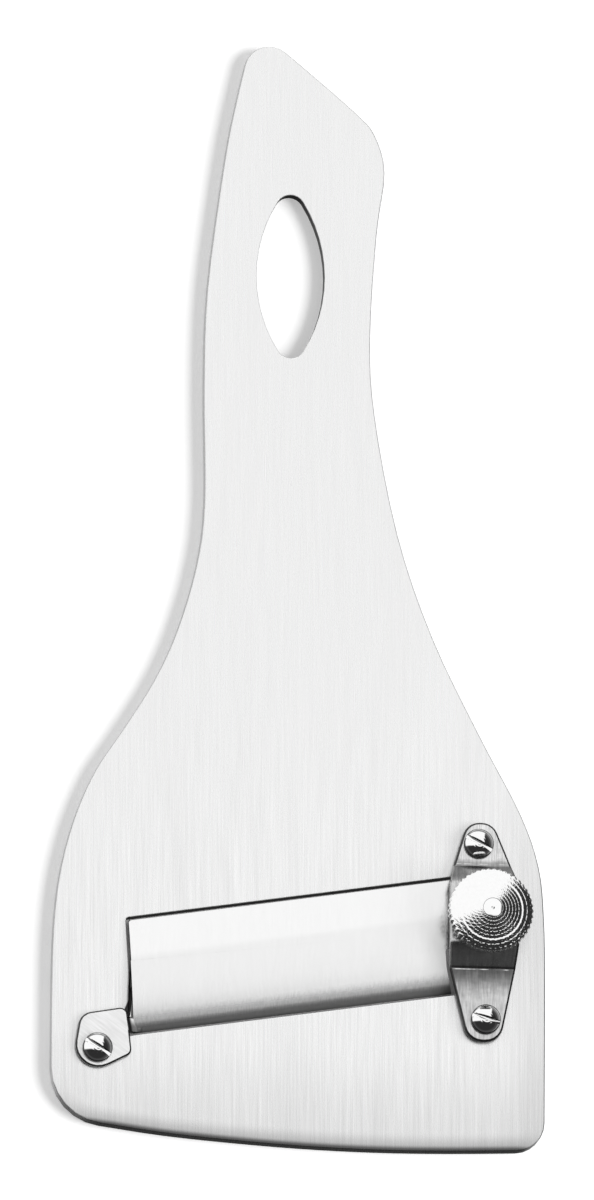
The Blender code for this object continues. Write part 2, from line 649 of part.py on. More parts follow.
def build_knob(material):
    """The knurled knob with its low turned cone and a bore for the spindle."""
    bore = SPINDLE_END_RADIUS + BORE_GAP
    core = KNOB_RADIUS - KNURL_DEPTH - KNOB_CHAMFER
    shoulder = core - KNOB_SHOULDER
    crown = KNOB_SIDE + (KNOB_HEIGHT - KNOB_SIDE) / 3
    rings = [
        knurled_ring(bore, 0, 0),
        knurled_ring(core, 0, 0),
        knurled_ring(KNOB_RADIUS, KNOB_CHAMFER, KNURL_DEPTH),
        knurled_ring(KNOB_RADIUS, KNOB_SIDE - KNOB_CHAMFER, KNURL_DEPTH),
        knurled_ring(core, KNOB_SIDE, 0),
        knurled_ring(shoulder, crown, 0),
        knurled_ring(bore, KNOB_HEIGHT, 0),
    ]
    shape = bmesh.new()
    loops = [[shape.verts.new(point) for point in ring] for ring in rings]
    for lower, upper in zip(loops, loops[1:] + loops[:1]):
        for index in range(len(lower)):
            after = (index + 1) % len(lower)
            shape.faces.new((lower[index], lower[after], upper[after], upper[index]))
    knob = add_object("adjusting_knob", shape, material)
    knob.location = (*KNOB_AXIS, KNOB_BOTTOM)
    return knob


def build_spindle(material):
    """The threaded spindle: pressed through the knob, with a grooved pin for the blade."""
    top = KNOB_BOTTOM + KNOB_HEIGHT
    collar = KNOB_BOTTOM - BORE_GAP
    groove = TIP_PIN_RADIUS - GROOVE_DEPTH
    profile = [
        (0, top - DIMPLE_RADIUS), (DIMPLE_RADIUS, top), (SPINDLE_END_RADIUS, top),
        (SPINDLE_END_RADIUS, collar), (THREAD_RADIUS, collar),
        (THREAD_RADIUS, SPINDLE_SHOULDER), (TIP_PIN_RADIUS, SPINDLE_SHOULDER),
        (TIP_PIN_RADIUS, CLIP_TOP + BORE_GAP), (groove, CLIP_TOP + BORE_GAP),
        (groove, CLIP_BOTTOM - BORE_GAP), (TIP_PIN_RADIUS, CLIP_BOTTOM - BORE_GAP),
        (TIP_PIN_RADIUS, SPINDLE_END), (0, SPINDLE_END),
    ]
    spindle = add_object("adjusting_spindle", turned(profile), material)
    spindle.location = (*KNOB_AXIS, 0)
    return spindle


def build_washer(material):
    """The washer between the spindle's shoulder and the blade."""
    bore = TIP_PIN_RADIUS + RUNNING_GAP
    profile = [(bore, WASHER_TOP), (WASHER_RADIUS, WASHER_TOP),
               (WASHER_RADIUS, WASHER_BOTTOM), (bore, WASHER_BOTTOM)]
    washer = add_object("thrust_washer", turned(profile), material)
    washer.location = (*KNOB_AXIS, 0)
    return washer


def build_clip(material):
    """The open clip in the spindle's groove, under the blade."""
    inner = TIP_PIN_RADIUS - GROOVE_DEPTH + BORE_GAP
    start, end = CLIP_MOUTH / 2, math.tau - CLIP_MOUTH / 2
    steps = round((end - start) / FACET)
    middle = Vector((0, 0))
    outline = arc(middle, CLIP_RADIUS, start, end, steps) + arc(middle, inner, end, start, steps)
    clip = add_object("retaining_clip", upright_prism(outline, CLIP_BOTTOM, CLIP_TOP), material)
    clip.location = (*KNOB_AXIS, 0)
    return clip


def build_screw(name, centre, seat, turn, material):
    """A slotted screw with a domed head, its shank in the plate."""
    head_bottom = seat + SEAT_GAP
    rim = head_bottom + SCREW_HEAD_RIM
    top = head_bottom + SCREW_HEAD_HEIGHT
    dome = top - rim
    radius = (SCREW_HEAD_RADIUS ** 2 + dome ** 2) / (2 * dome)
    spread = math.asin(SCREW_HEAD_RADIUS / radius)
    profile = []
    for step in range(DOME_STEPS + 1):
        angle = spread * step / DOME_STEPS
        profile.append((radius * math.sin(angle), top - radius * (1 - math.cos(angle))))
    profile += [(SCREW_HEAD_RADIUS, head_bottom), (SCREW_RADIUS, head_bottom),
                (SCREW_RADIUS, SCREW_END_INSET), (0, SCREW_END_INSET)]
    screw = add_object(name, turned(profile), material)
    screw.location = (*centre, 0)
    right, above = SCREW_HEAD_RADIUS + OVERRUN, SCREW_SLOT_WIDTH / 2
    box = [(-right, -above), (right, -above), (right, above), (-right, above)]
    slot = add_object(name + "_slot_cut", upright_prism(box, top - SCREW_SLOT_DEPTH, top + OVERRUN))
    slot.location = (*centre, 0)
    slot.rotation_euler = (0, 0, turn)
    combine(screw, slot, "DIFFERENCE")
    return screw


def main():
    """Builds every piece."""
    clear_scene()
    brushed = steel("brushed_plate", 0.78, 0.34)
    ground = steel("satin_blade", 0.82, 0.24)
    pressed = steel("pressed_bridge", 0.6, 0.3)
    polished = steel("polished_steel", 0.85, 0.12)
    build_plate(brushed)
    build_blade(ground)
    build_bridge(pressed)
    build_knob(polished)
    build_spindle(polished)
    build_washer(polished)
    build_clip(polished)
    build_screw("bridge_screw_upper", UPPER_SCREW, TAB_TOP, UPPER_SCREW_TURN, polished)
    build_screw("bridge_screw_lower", LOWER_SCREW, TAB_TOP, LOWER_SCREW_TURN, polished)
    build_screw("blade_screw", EAR_SCREW, EAR_TOP, EAR_SCREW_TURN, polished)


main()
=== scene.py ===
"""The truffle slicer's looks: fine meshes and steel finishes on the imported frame, in a studio."""

import json
import math

import bmesh
import bpy
from mathutils import Matrix, Vector
from mathutils.bvhtree import BVHTree
from mathutils.geometry import tessellate_polygon


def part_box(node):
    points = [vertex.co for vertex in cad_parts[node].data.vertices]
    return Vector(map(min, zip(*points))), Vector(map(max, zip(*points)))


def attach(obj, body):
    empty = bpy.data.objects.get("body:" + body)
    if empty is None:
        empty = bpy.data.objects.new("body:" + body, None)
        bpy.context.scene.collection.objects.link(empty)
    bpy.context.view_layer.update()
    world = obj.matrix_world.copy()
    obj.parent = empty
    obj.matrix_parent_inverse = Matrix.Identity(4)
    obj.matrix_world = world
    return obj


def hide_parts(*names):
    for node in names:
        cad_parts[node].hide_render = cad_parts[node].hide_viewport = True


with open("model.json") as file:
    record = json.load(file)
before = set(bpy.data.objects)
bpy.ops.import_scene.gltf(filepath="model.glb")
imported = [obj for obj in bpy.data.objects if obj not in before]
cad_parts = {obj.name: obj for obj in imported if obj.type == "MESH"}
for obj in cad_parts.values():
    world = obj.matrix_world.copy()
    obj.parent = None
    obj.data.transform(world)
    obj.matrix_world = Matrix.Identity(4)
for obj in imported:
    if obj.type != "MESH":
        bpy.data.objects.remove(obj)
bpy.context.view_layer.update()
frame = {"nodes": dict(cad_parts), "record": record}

MM = 0.001
record = frame["record"]

# Camera: nearly square above the plate, a little from its foot and its left side
CAMERA_TILT = math.radians(13)
CAMERA_LEAN = math.radians(7.5)
VIEW_CENTRE = Vector((-0.27, -0.89, 2.5)) * MM
VIEW_HEIGHT = 212.39 * MM
LENS = 800
SENSOR = 36
CLIP_START = 0.1
CLIP_END = 20

# Sky: its levels, and between which directions each gives way to the next
SKY_BRIGHT = 1.04
SKY_DARK = 0.028
SKY_LOW = 0.064
SKY_HORIZON = 0.176
SKY_SIDES = 0.24
SKY_BELOW = 0.08
SKY_FLOOR = 0.50
SKY_DIFFUSE = 0.32
FRONT_LEAN = 0.11
FRONT_BAND = (-0.218, -0.108)
RIGHT_BAND = (0.55, 0.47)
SIDES_TURN_BAND = (0.45, 0.65)
SIDES_HEIGHT_BAND = (0.26, 0.14)
LOW_BAND = (0.50, 0.36)
HORIZON_BAND = (0.06, 0.17)
FLOOR_BAND = (-0.08, 0.06)
BELOW_BAND = (-0.08, 0.0)

# Key light
KEY_STRENGTH = 3.0
KEY_ELEVATION = math.radians(38)
KEY_TURN = math.radians(-8)
KEY_SOFTNESS = math.radians(36)

# Floor, and the part of it under the blade that stays dark, in the slot's own directions
FLOOR_SIZE = 4.0
FLOOR_DROP = 0.05 * MM
FLOOR_SHADE = 0.95
FLOOR_LIFT = 0.33
UNDER_RUN_BANDS = ((-6 * MM, -4 * MM), (72 * MM, 70 * MM))
UNDER_RISE_BANDS = ((-4 * MM, -2 * MM), (26 * MM, 24 * MM))

# Copies of CAD nodes
WELD_REACH = 1e-6
LEVEL_TOLERANCE = 2e-6
PLACE_DIGITS = 6
FLAT_ANGLE = math.radians(0.3)
FLAT_FACE_WEIGHT = 100
SHARP_ANGLE = math.radians(34)
SMALL_EDGE = 0.05 * MM
STRAY = 0.14 * MM
WALL_SLOPE = 0.35

# Plate
PLATE_EDGE = 0.24 * MM
SLOT_EDGE = 0.12 * MM
EDGE_STEPS = 4
ROLL_WIDTH = 3.5 * MM
ROLL_DROP = 0.07 * MM
ROLL_STEPS = 6
FOOT_POWER = 2
RAIL_START = -25 * MM
RAIL_RUN = 25 * MM
RAIL_POWER = 4
RAIL_SPREAD = 8
# How far an opening's edge must face the head to take the painted highlight
HIGHLIGHT_EDGE_FACING = 0.8
PLATE_FACE, PLATE_WALL, PLATE_HIGHLIGHT_EDGE = range(3)

# Blade, in the slot's own directions
SLOT_ANGLE = math.radians(8.8)
SLOT_ALONG = Vector((math.cos(SLOT_ANGLE), math.sin(SLOT_ANGLE)))
SLOT_ACROSS = Vector((-math.sin(SLOT_ANGLE), math.cos(SLOT_ANGLE)))
SLOT_START = Vector((-29.5, -80.5)) * MM
BLADE_EDGE = 0.08 * MM
EAR_EDGE = 0.30 * MM
EAR_EDGE_STEPS = 3
EAR_REACH = -0.2 * MM
NECK_REACH = 1.6 * MM
NECK_SLOPE = 0.25
NECK_SMOOTHING = 0.72
PLAIN_REACH = 55 * MM
BLADE_GROUND, BLADE_EAR, BLADE_SHEARED_AND_SHADE, BLADE_NECK = range(4)

# Bridge
BRIDGE_EDGE = 0.36 * MM
BRIDGE_EDGE_STEPS = 4
UPPER_FOLD_Y = -48.437 * MM
LOWER_FOLD_Y = -66.887 * MM
UPPER_SCREW_Y = -44.537 * MM
LOWER_SCREW_Y = -76.205 * MM
BRIDGE_PRESSED, BRIDGE_SHEARED_AND_SHADE = range(2)

# Knob. A ring of its knurled side is a share of the side's height, then how many chamfers it lies
# higher and further in, then its share of the knurling's depth.
KNOB_RADIUS = 7.55 * MM
KNOB_HEIGHT = 4.05 * MM
KNOB_CHAMFER = 0.3 * MM
KNOB_SHARP_ANGLE = math.radians(60)
KNURL_TEETH = 46
KNURL_DEPTH = 0.38 * MM
KNURL_POWER = 1.5
KNURL_RINGS = (
    (0.0, 0.3, 0.5, 0.5),
    (0.0, 1.0, 0.0, 1.0),
    (0.5, 0.0, 0.0, 1.0),
    (1.0, -1.0, 0.0, 1.0),
    (1.0, -0.4, 0.3, 0.6),
)
TOOTH_POINTS = 8
CONE_RADIUS = 5.35 * MM
CONE_RINGS = 6
CONE_SLOPE = math.radians(23)
BROW_RINGS = 2
LEDGE_START = 0.06 * MM
LEDGE_WIDTH = 0.20 * MM
RING_SAMPLES = 10
STEP_TREAD = 0.15
STEP_SOFTNESS = 0.12
STEP_END = 1.06
WOBBLE = 0.009 * MM
WOBBLE_LEAST = 0.4
WOBBLE_WAVES = ((31, 9), (47, -14), (73, 21))

# Spindle
BORE_RADIUS = 1.77 * MM
SPINDLE_END_RADIUS = 1.75 * MM
SPINDLE_CHAMFER = 0.12 * MM
SPINDLE_CHAMFER_BEND = 1 / 3
SPINDLE_SHARP_ANGLE = math.radians(28)
SHOULDER_GAP = 0.2 * MM
COLLAR_GAP = 0.1 * MM
THREAD_RADIUS = 1.9 * MM
THREAD_DEPTH = 0.38 * MM
THREAD_PITCH = 0.7 * MM
THREAD_STEPS = 12
PIN_RADIUS = 1.2 * MM
GROOVE_RADIUS = 0.9 * MM
GROOVE_GAP = 0.1 * MM
DIMPLE_RADIUS = 0.3 * MM
DIMPLE_POINT = 1 / 3
PIN_END_CENTRE = 0.4
ROUND_SEGMENTS = 96

# Screws
HEAD_RADIUS = 2.62 * MM
HEAD_HEIGHT = 1.6 * MM
HEAD_RIM = 0.45 * MM
HEAD_CHAMFER = 0.06 * MM
RIM_WIDTH = 0.16 * MM
SHANK_RADIUS = 1.45 * MM
SHANK_END_CENTRE = 0.3
SCREW_SLOT_WIDTH = 0.68 * MM
SCREW_SLOT_DEPTH = 1.22 * MM
CUTTER_MARGIN = 1.0 * MM
CUTTER_HEIGHT = 2.0 * MM
DOME_STEPS = 44
RIPPLE_REACH = 1.5 * MM
RIPPLE_PITCH = 0.42 * MM
RIPPLE_HEIGHT = 0.006 * MM
SCREW_TURNS = {
    "bridge_screw_upper": math.radians(-28),
    "bridge_screw_lower": math.radians(-16),
    "blade_screw": math.radians(-32),
}

# Steels: their shade, roughness, and how deep and which way their grain is. What gloss leaves short
# of 1 is light that fine brushing scatters all round. A part of a grain is its waves to a metre
# across and along the grain, then its weight.
UPRIGHT = 0.0
EAR_GRAIN = math.radians(54)
NOISE_DETAIL = 2.0
NOISE_ROUGHNESS = 0.55
PLATE_SHADE = 0.89
STEELS = {
    "brushed_plate": {
        "shade": PLATE_SHADE, "roughness": 0.28, "depth": 0.006 * MM, "gloss": 0.72,
        "shade_grain": ((6500, 90, 0.08), (3000, 50, 0.045), (900, 25, 0.025), (60, 14, 0.02)),
        "rough_grain": ((5200, 90, 0.12), (90, 20, 0.04)),
        "bump_grain": ((6500, 90, 1.0), (2600, 50, 0.6)),
    },
    "satin_blade": {
        "shade": 0.92, "roughness": 0.19, "depth": 0.006 * MM, "gloss": 0.85,
        "shade_grain": ((4600, 420, 0.05), (900, 160, 0.03)),
        "rough_grain": ((4600, 300, 0.08), (160, 60, 0.03)),
        "bump_grain": ((4600, 900, 1.0),),
    },
    "bent_neck": {
        "shade": 0.90, "roughness": 0.30, "depth": 0.004 * MM, "gloss": 0.85,
        "shade_grain": ((3000, 900, 0.05),),
        "rough_grain": ((2500, 900, 0.08),),
        "bump_grain": ((3000, 900, 1.0),),
    },
    "ground_ear": {
        "shade": 0.84, "roughness": 0.24, "depth": 0.006 * MM, "gloss": 0.72, "angle": EAR_GRAIN,
        "shade_grain": ((4600, 260, 0.45), (1500, 160, 0.15)),
        "rough_grain": ((4600, 300, 0.10),),
        "bump_grain": ((5200, 330, 1.0),),
    },
    "pressed_bridge": {
        "shade": 0.58, "roughness": 0.24, "depth": 0.001 * MM, "gloss": 0.95,
        "shade_grain": ((4000, 260, 0.60), (1500, 150, 0.25), (1100, 1100, 0.25)),
        "rough_grain": ((4200, 400, 0.08), (300, 200, 0.04)),
        "bump_grain": ((5200, 500, 1.0),),
    },
    # Cut walls and edges: dull steel, painted nearly black as the shade in gaps, slots and edges
    "sheared_edge_and_shade": {
        "shade": 0.08, "roughness": 0.45, "depth": 0.004 * MM,
        "shade_grain": ((3000, 3000, 0.04),),
        "rough_grain": ((2500, 2500, 0.10),),
        "bump_grain": ((4000, 4000, 1.0),),
    },
    # Smoother steel, a little lighter as a painted highlight, for the openings' edges facing the
    # head
    "buffed_highlight_edge": {
        "shade": 0.93, "roughness": 0.16, "depth": 0.001 * MM,
        "shade_grain": ((3000, 3000, 0.06),),
        "rough_grain": ((2500, 2500, 0.06),),
        "bump_grain": ((4000, 4000, 1.0),),
    },
    "polished_steel": {
        "shade": 0.93, "roughness": 0.06, "depth": 0.006 * MM,
        "shade_grain": ((900, 900, 0.04),),
        "rough_grain": ((1500, 1500, 0.06),),
        "bump_grain": ((2000, 2000, 1.0),),
    },
    "turned_steel": {
        "shade": 0.93, "roughness": 0.09, "depth": 0.030 * MM,
        "shade_grain": ((1500, 1500, 0.06),),
        "rough_grain": ((2500, 2500, 0.10),),
        "bump_grain": ((1900, 1900, 1.0), (3600, 3600, 0.4)),
    },
}

# Painted shade on the plate, and its grain's gain towards the foot: each place's share of the
# shade, and between which points it comes in
FOOT_GRAIN = 4.0
FOOT_GRAIN_BAND = (-10 * MM, -70 * MM)
FOOT_SHADE = 0.87
FOOT_SHADE_BAND = (-78 * MM, -98 * MM)
RAIL_SHADE = 0.88
RAIL_ACROSS_BAND = (35 * MM, 43 * MM)
RAIL_DOWN_BAND = (-30 * MM, -50 * MM)
ROLL_SHADE = 0.60
ROLL_BAND = (0.0, 1.0)
WALL_SHADE = 0.20
WALL_BAND = (0.72, 0.98)

# Painted shade and light on the bridge. A fold is its place, which way its tab lies, the shade and
# the reach of the dark on the tab, and the shade of the slope. The fold highlights and the upper
# tab's extra light are painted too.
FOLDS = (
    (UPPER_FOLD_Y, 1, 0.60, 1.5 * MM, 0.55),
    (LOWER_FOLD_Y, -1, 0.20, 6.0 * MM, 1.0),
)
TAB_BAND = (-0.5 * MM, 0.0)
TAB_DARK_START = 0.4 * MM
SLOPE_UP_BAND = (-3.6 * MM, -2.2 * MM)
SLOPE_DOWN_BAND = (0.1 * MM, -0.2 * MM)
PATCH_WAVES = (300, 900)
PATCH_REACH = 1.6 * MM
FOLD_HIGHLIGHT_PLACE = 0.28 * MM
FOLD_HIGHLIGHT_BAND = (0.10 * MM, 0.03 * MM)
FOLD_HIGHLIGHT_WAVES = (420, 20)
FOLD_HIGHLIGHT_BREAKS = (0.40, 0.62)
FOLD_HIGHLIGHT_SHADE = 0.85
UPPER_TAB_LIGHT = 1.25
UPPER_TAB_BAND = (UPPER_FOLD_Y, UPPER_FOLD_Y + 1.5 * MM)

# Painted shade on the blade and its neck
LIP_WAVES = (4200, 900)
LIP_RAGGED = 2.2 * MM
LIP_BAND = (4.4 * MM, 1.0 * MM)
LIP_SHADE = 0.55
LIP_ROUGHNESS = 0.42
LIP_ROUGH_BAND = (4.0 * MM, 1.6 * MM)
MIDDLE_BAND = (14.6 * MM, 13.2 * MM)
MIDDLE_SHADE = 0.94
END_RUN_BAND = (52 * MM, 60 * MM)
END_RISE_BAND = (16 * MM, 9 * MM)
END_SHADOW = 0.62
BEND_BAND = (-0.2 * MM, 0.2 * MM)
BEND_SHADE = 0.12
NECK_LIP_BAND = (3.2 * MM, 1.4 * MM)
NECK_LIP_SHADE = 0.25


def clamp(value):
    """A value held between 0 and 1."""
    return min(1.0, max(0.0, value))


def middle(node):
    """The middle of a node's box, and its lowest and highest Z."""
    low, high = (Vector(corner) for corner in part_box(node))
    return (low + high) / 2, low.z, high.z


def place_piece(name, mesh, node, material_slot, *materials):
    """Puts a mesh in the scene in place of a CAD node, on the node's own body."""
    for material in materials:
        mesh.materials.append(material)
    piece = bpy.data.objects.new(name, mesh)
    bpy.context.scene.collection.objects.link(piece)
    for body, nodes in record["behaviour"]["bodies"].items():
        if node in nodes:
            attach(piece, body)
    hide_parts(node)


def mesh_of(shape, name):
    """A mesh made from a bmesh, which is freed."""
    mesh = bpy.data.meshes.new(name)
    shape.to_mesh(mesh)
    shape.free()
    return mesh


def temporary_object(shape, name):
    """An object made from a bmesh."""
    item = bpy.data.objects.new(name, mesh_of(shape, name))
    bpy.context.scene.collection.objects.link(item)
    return item


def apply_modifiers(item):
    """The object's mesh with its modifiers applied; the object itself is removed."""
    bpy.context.view_layer.update()
    graph = bpy.context.evaluated_depsgraph_get()
    mesh = bpy.data.meshes.new_from_object(item.evaluated_get(graph))
    bpy.data.objects.remove(item)
    return mesh


def add_bevel(item, width, segments=2):
    """Rounds an object's sharp edges."""
    bevel = item.modifiers.new("rounded", "BEVEL")
    bevel.width = width
    bevel.segments = segments
    bevel.limit_method = "ANGLE"
    bevel.angle_limit = SHARP_ANGLE
    bevel.use_clamp_overlap = False
    return bevel


def shade_smoothly(mesh, angle=SHARP_ANGLE):
    """Smooth shading but for edges sharper than an angle."""
    mesh.shade_smooth()
    mesh.set_sharp_from_angle(angle=angle)


def loft(rings, close_ends=False):
    """Closed rings of points, each joined to the next, and the last to the first or both capped."""
    shape = bmesh.new()
    loops = [[shape.verts.new(point) for point in ring] for ring in rings]
    pairs = list(zip(loops, loops[1:]))
    if not close_ends:
        pairs.append((loops[-1], loops[0]))
    for lower, upper in pairs:
        for index in range(len(lower)):
            after = (index + 1) % len(lower)
            shape.faces.new((lower[index], lower[after], upper[after], upper[index]))
    if close_ends:
        shape.faces.new(loops[0][::-1])
        shape.faces.new(loops[-1])
    bmesh.ops.recalc_face_normals(shape, faces=shape.faces)
    return shape


def ring_of(radius_at, height_at, centre, count):
    """A ring round a vertical axis, its radius and height given by functions of the angle."""
    ring = []
    for index in range(count):
        angle = math.tau * index / count
        radius = radius_at(angle)
        ring.append(Vector((
            centre.x + radius * math.cos(angle),
            centre.y + radius * math.sin(angle),
            height_at(angle))))
    return ring


def plain_ring(radius, height, centre, count=ROUND_SEGMENTS):
    """A level ring of one radius."""
    return ring_of(lambda angle: radius, lambda angle: height, centre, count)


def wall_loops(node, height):
    """The closed loops that a node's upright walls make nearest a height, each as plan points."""
    mesh = frame["nodes"][node].data
    levels = (vertex.co.z for vertex in mesh.vertices)
    height = min(levels, key=lambda level: abs(level - height))
    places = {}
    links = {}
    for edge in mesh.edges:
        ends = []
        for index in edge.vertices:
            point = mesh.vertices[index].co
            key = tuple(round(value, PLACE_DIGITS) for value in point)
            places[key] = Vector(point.xy)
            ends.append(key)
        first, second = ends
        if first != second and all(abs(key[2] - height) < LEVEL_TOLERANCE for key in ends):
            links.setdefault(first, []).append(second)
            links.setdefault(second, []).append(first)
    loops = []
    left = dict(links)
    while left:
        start = next(iter(left))
        loop = [start]
        here, before = links[start][0], start
        while here != start:
            loop.append(here)
            here, before = next(key for key in links[here] if key != before), here
        for key in loop:
            left.pop(key, None)
        loops.append([places[key] for key in loop])
    return loops


def signed_area(loop):
    """A loop's area, positive when it runs anticlockwise."""
    return sum(a.cross(b) for a, b in zip(loop, loop[1:] + loop[:1])) / 2


def inward_normals(loop):
    """At each point of a loop, the plan direction to its left, halfway between its sides' own."""
    normals = []
    for before, here, after in zip(loop[-1:] + loop[:-1], loop, loop[1:] + loop[:1]):
        first = (here - before).normalized().orthogonal()
        second = (after - here).normalized().orthogonal()
        normals.append((first + second).normalized())
    return normals


def build_plate(*materials):
    """The plate as one slab with finely rounded edges, rolled off a little along its foot.

    Its materials are for the faces, for the cut walls of the openings, dark as painted shade, and
    for the openings' edges that face the head, lighter as a painted highlight. Its "foot" attribute
    is the share of painted shade a point takes, along the foot and along the right rail.
    """
    _, bottom, top = middle("body_plate")
    loops = wall_loops("body_plate", top - PLATE_EDGE)
    loops.sort(key=lambda loop: -abs(signed_area(loop)))
    points, normals, faces, kinds, foot = [], [], [], [], []
    caps = {bottom: [], top: []}

    def add_ring(plan, directions, height, tilt, drops, painted_shade):
        first = len(points)
        for place, direction, drop in zip(plan, directions, drops):
            points.append((place.x, place.y, height - drop))
            level = math.cos(tilt)
            normals.append(Vector((-direction.x * level, -direction.y * level, math.sin(tilt))))
        foot.extend(painted_shade)
        return list(range(first, len(points)))

    for loop in loops:
        outer = loop is loops[0]
        if (signed_area(loop) > 0) != outer:
            loop = loop[::-1]
        directions = inward_normals(loop)
        radius = PLATE_EDGE if outer else SLOT_EDGE
        nothing = [0.0] * len(loop)
        facing_foot = rail = nothing
        if outer:
            # Shares of painted shade: facing the foot (which also sets the roll-off) and on the
            # right rail
            facing_foot = [max(0.0, direction.y) ** FOOT_POWER for direction in directions]
            rail = [max(0.0, -direction.x) ** RAIL_POWER * clamp((RAIL_START - place.y) / RAIL_RUN)
                    for place, direction in zip(loop, directions)]

        def offset(distance):
            return [place + direction * distance for place, direction in zip(loop, directions)]

        rings = []
        for step in range(EDGE_STEPS, -1, -1):
            angle = math.pi / 2 * step / EDGE_STEPS
            plan = offset(radius * (1 - math.cos(angle)))
            height = bottom + radius * (1 - math.sin(angle))
            rings.append(add_ring(plan, directions, height, -angle, nothing, facing_foot))
        drops = [ROLL_DROP * share for share in facing_foot]
        for step in range(EDGE_STEPS + 1):
            angle = math.pi / 2 * step / EDGE_STEPS
            plan = offset(radius * (1 - math.cos(angle)))
            height = top - radius * (1 - math.sin(angle))
            spread = 1 - (step / EDGE_STEPS) ** RAIL_SPREAD
            painted_shade = [max(share, side * spread) for share, side in zip(facing_foot, rail)]
            rings.append(add_ring(plan, directions, height, angle, drops, painted_shade))
        for step in range(1, ROLL_STEPS + 1 if outer else 1):
            share = 1 - step / ROLL_STEPS
            plan = offset(radius + (ROLL_WIDTH - radius) * (1 - share))
            drops = [ROLL_DROP * share ** 2 * side for side in facing_foot]
            painted_shade = [share * side for side in facing_foot]
            ring = add_ring(plan, directions, top, math.pi / 2, drops, painted_shade)
            slope = 2 * ROLL_DROP * share / (ROLL_WIDTH - radius)
            for index, direction, side in zip(ring, directions, facing_foot):
                tipped = Vector((-direction.x * slope * side, -direction.y * slope * side, 1))
                normals[index] = tipped.normalized()
            rings.append(ring)
        for level, (lower, upper) in enumerate(zip(rings, rings[1:])):
            for index, direction in enumerate(directions):
                after = (index + 1) % len(lower)
                faces.append((lower[index], lower[after], upper[after], upper[index]))
                # Openings: walls dark as painted shade, edges facing the head lighter as a painted
                # highlight
                kind = PLATE_FACE
                if not outer and level == EDGE_STEPS:
                    kind = PLATE_WALL
                elif not outer and level > EDGE_STEPS and direction.y < -HIGHLIGHT_EDGE_FACING:
                    kind = PLATE_HIGHLIGHT_EDGE
                kinds.append(kind)
        caps[bottom].append(rings[0])
        caps[top].append(rings[-1])
    for height, rings in caps.items():
        flat = [index for ring in rings for index in ring]
        outline = [[Vector((*points[index][:2], 0)) for index in ring] for ring in rings]
        for triangle in tessellate_polygon(outline):
            corner = [flat[index] for index in triangle]
            a, b, c = (Vector(points[index]).xy for index in corner)
            upward = (b - a).cross(c - a) > 0
            faces.append(tuple(corner if upward == (height == top) else corner[::-1]))
            kinds.append(PLATE_FACE)
    mesh = bpy.data.meshes.new("plate")
    mesh.from_pydata(points, [], faces)
    mesh.update()
    mesh.shade_smooth()
    mesh.polygons.foreach_set("material_index", kinds)
    attribute = mesh.attributes.new("foot", "FLOAT", "POINT")
    attribute.data.foreach_set("value", foot)
    mesh.normals_split_custom_set_from_vertices(normals)
    place_piece("plate", mesh, "body_plate", "brushed_plate", *materials)


def refined_copy(node, width, segments=2, materials=(), edge_slot=-1, share_at=lambda point: 1.0):
    """A CAD node's mesh with its seams closed, its flat faces whole and its sharp edges rounded.

    share_at gives the share of the width that an edge takes, from its middle. A point that the
    rounding throws off the CAD surface is put back on it.
    """
    source = frame["nodes"][node].data
    shape = bmesh.new()
    shape.from_mesh(source)
    bmesh.ops.remove_doubles(shape, verts=shape.verts, dist=WELD_REACH)
    bmesh.ops.dissolve_limit(shape, angle_limit=FLAT_ANGLE, verts=shape.verts, edges=shape.edges)
    weights = shape.edges.layers.float.new("bevel_weight_edge")
    for edge in shape.edges:
        if edge.is_manifold and edge.calc_face_angle() > SHARP_ANGLE:
            edge[weights] = share_at((edge.verts[0].co + edge.verts[1].co) / 2)
    item = temporary_object(shape, node + "_copy")
    item.data.shade_smooth()
    for material in materials:
        item.data.materials.append(material)
    bevel = add_bevel(item, width, segments)
    bevel.limit_method = "WEIGHT"
    bevel.material = edge_slot
    weighted = item.modifiers.new("flat faces stay flat", "WEIGHTED_NORMAL")
    weighted.mode = "FACE_AREA"
    weighted.weight = FLAT_FACE_WEIGHT
    mesh = apply_modifiers(item)
    surface = BVHTree.FromPolygons(
        [vertex.co for vertex in source.vertices],
        [tuple(face.vertices) for face in source.polygons])
    for vertex in mesh.vertices:
        nearest, _, _, distance = surface.find_nearest(vertex.co)
        if distance > STRAY:
            vertex.co = nearest
    mesh.update()
    return mesh


def build_blade(*materials):
    """The curved blade. Steels: ground face, ear, cut edges dark as painted shade, and neck."""

    def reach_of(point):
        return (point.xy - SLOT_START).dot(SLOT_ALONG)

    def edge_share(point):
        reach = reach_of(point)
        if reach < 2 * EAR_REACH:
            return 1.0
        return BLADE_EDGE / EAR_EDGE if NECK_REACH < reach < PLAIN_REACH else 0.0

    # Rounded edges, widest round the ear, take the dark steel, painting the shade along them
    mesh = refined_copy("blade", EAR_EDGE, EAR_EDGE_STEPS, materials, BLADE_SHEARED_AND_SHADE, edge_share)
    normals = [Vector(corner.vector) for corner in mesh.corner_normals]
    upward = Vector((0, 0, NECK_SMOOTHING))
    for face in mesh.polygons:
        reach = reach_of(face.center)
        plain = face.material_index == BLADE_GROUND
        sloping = face.normal.x > NECK_SLOPE and face.normal.z > 0
        if plain and reach < EAR_REACH:
            face.material_index = BLADE_EAR
        elif plain and reach < NECK_REACH and sloping:
            face.material_index = BLADE_NECK
            for corner in face.loop_indices:
                normals[corner] = (normals[corner] * (1 - NECK_SMOOTHING) + upward).normalized()
        elif abs(face.normal.z) < WALL_SLOPE:
            face.material_index = BLADE_SHEARED_AND_SHADE
    mesh.normals_split_custom_set(normals)
    place_piece("curved_blade", mesh, "blade", "satin_blade")


